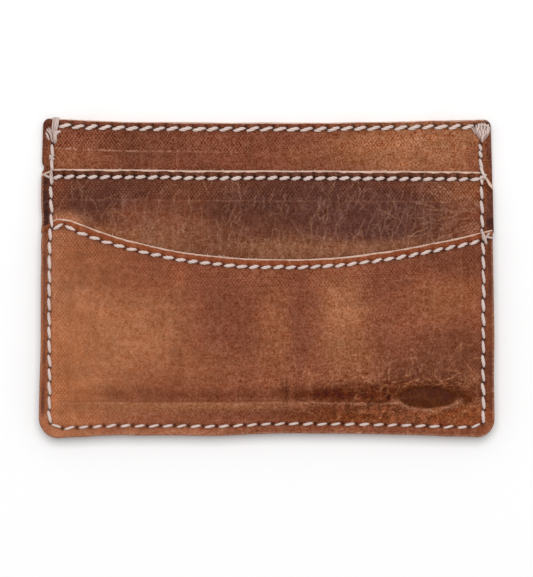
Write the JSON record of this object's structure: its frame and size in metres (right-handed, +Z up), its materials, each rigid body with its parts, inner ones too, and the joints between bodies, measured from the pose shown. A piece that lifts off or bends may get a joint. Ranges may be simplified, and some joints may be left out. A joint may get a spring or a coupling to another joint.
{
  "type": "card holder",
  "caption": "Slim flat leather card holder with a scooped front pocket, a straight pocket behind it and a centre slot, sewn round the sides and bottom with pale thread.",
  "frame": {"origin": "bottom centre of the bounding box, on the rear panel's outer face, which lies on the surface", "axes": "+X to the right along the mouths, +Y from the bottom seam to the mouths, +Z up through the thickness, from the rear panel to the scoop pocket"},
  "size_m": [0.1008, 0.0715, 0.007],
  "materials": {
    "leather": "semi-matt vegetable-tanned leather with a waxed, darkened and creased surface",
    "thread": "off-white twisted polyester thread, matt"
  },
  "bodies": {
    "root": {"rear_panel": "leather", "front_panel": "leather", "straight_pocket": "leather", "scoop_pocket": "leather", "rear_mouth_needle_thread": "thread", "rear_mouth_bobbin_thread": "thread", "front_mouth_needle_thread": "thread", "front_mouth_bobbin_thread": "thread", "straight_mouth_needle_thread": "thread", "straight_mouth_bobbin_thread": "thread", "scoop_mouth_needle_thread": "thread", "scoop_mouth_bobbin_thread": "thread", "side_seam_needle_thread": "thread", "side_seam_bobbin_thread": "thread", "left_bar_tack": "thread", "right_bar_tack": "thread"}
  },
  "joints": []
}
